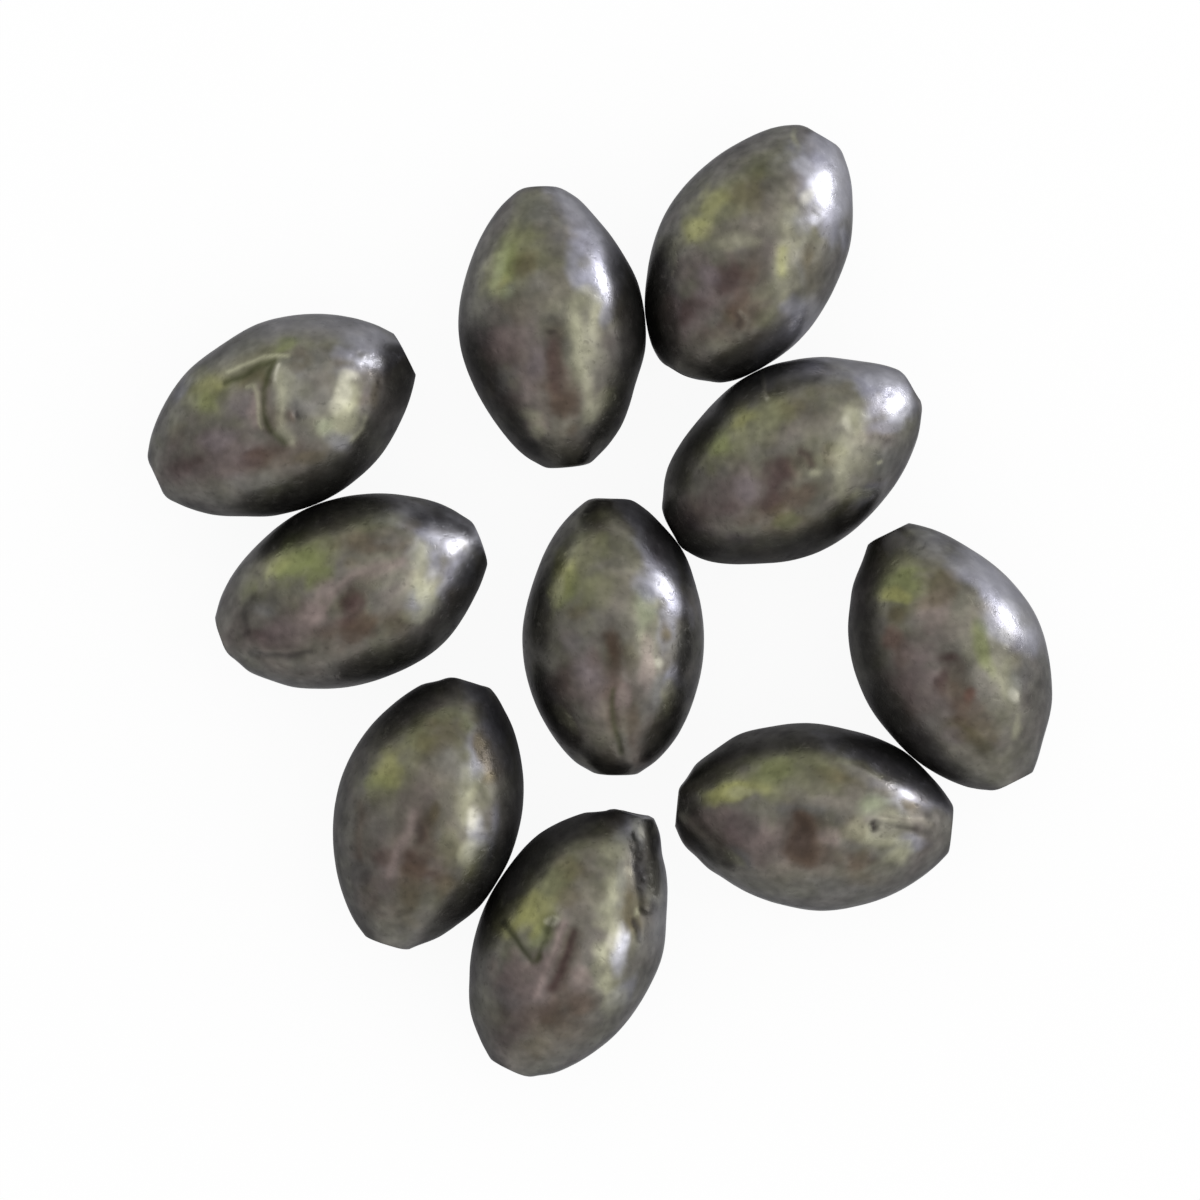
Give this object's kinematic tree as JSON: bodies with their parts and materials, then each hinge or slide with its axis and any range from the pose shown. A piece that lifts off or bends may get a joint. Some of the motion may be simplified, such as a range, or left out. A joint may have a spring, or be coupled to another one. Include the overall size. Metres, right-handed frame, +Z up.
{
  "type": "fishing sinker set",
  "caption": "Loose set of olive-shaped cast lead fishing sinkers, each a solid barrel with flat ends and a lengthwise bore that slides on the line.",
  "frame": {"origin": "on the surface that the set lies on, under the middle of the set's box", "axes": "as seen from above: +X to the right, +Y up the view, +Z straight up off the surface"},
  "size_m": [0.0652, 0.0688, 0.0135],
  "materials": {
    "lead": "dull cast lead, dark grey with olive and brown tarnish, low soft sheen"
  },
  "bodies": {
    "centre": {"sinker_centre": "lead"},
    "right": {"sinker_right": "lead"},
    "top_right": {"sinker_top_right": "lead"},
    "top": {"sinker_top": "lead"},
    "left": {"sinker_left": "lead"},
    "upper_left": {"sinker_upper_left": "lead"},
    "lower_left": {"sinker_lower_left": "lead"},
    "bottom": {"sinker_bottom": "lead"},
    "lower_right": {"sinker_lower_right": "lead"},
    "far_right": {"sinker_far_right": "lead"}
  },
  "joints": [
    {"name": "right_lift", "type": "slide", "parent": "centre", "child": "right", "axis": [0, 0, 1], "range_m": [0, 0.02]},
    {"name": "top_right_lift", "type": "slide", "parent": "centre", "child": "top_right", "axis": [0, 0, 1], "range_m": [0, 0.02]},
    {"name": "top_lift", "type": "slide", "parent": "centre", "child": "top", "axis": [0, 0, 1], "range_m": [0, 0.02]},
    {"name": "left_lift", "type": "slide", "parent": "centre", "child": "left", "axis": [0, 0, 1], "range_m": [0, 0.02]},
    {"name": "upper_left_lift", "type": "slide", "parent": "centre", "child": "upper_left", "axis": [0, 0, 1], "range_m": [0, 0.02]},
    {"name": "lower_left_lift", "type": "slide", "parent": "centre", "child": "lower_left", "axis": [0, 0, 1], "range_m": [0, 0.02]},
    {"name": "bottom_lift", "type": "slide", "parent": "centre", "child": "bottom", "axis": [0, 0, 1], "range_m": [0, 0.02]},
    {"name": "lower_right_lift", "type": "slide", "parent": "centre", "child": "lower_right", "axis": [0, 0, 1], "range_m": [0, 0.02]},
    {"name": "far_right_lift", "type": "slide", "parent": "centre", "child": "far_right", "axis": [0, 0, 1], "range_m": [0, 0.02]}
  ]
}
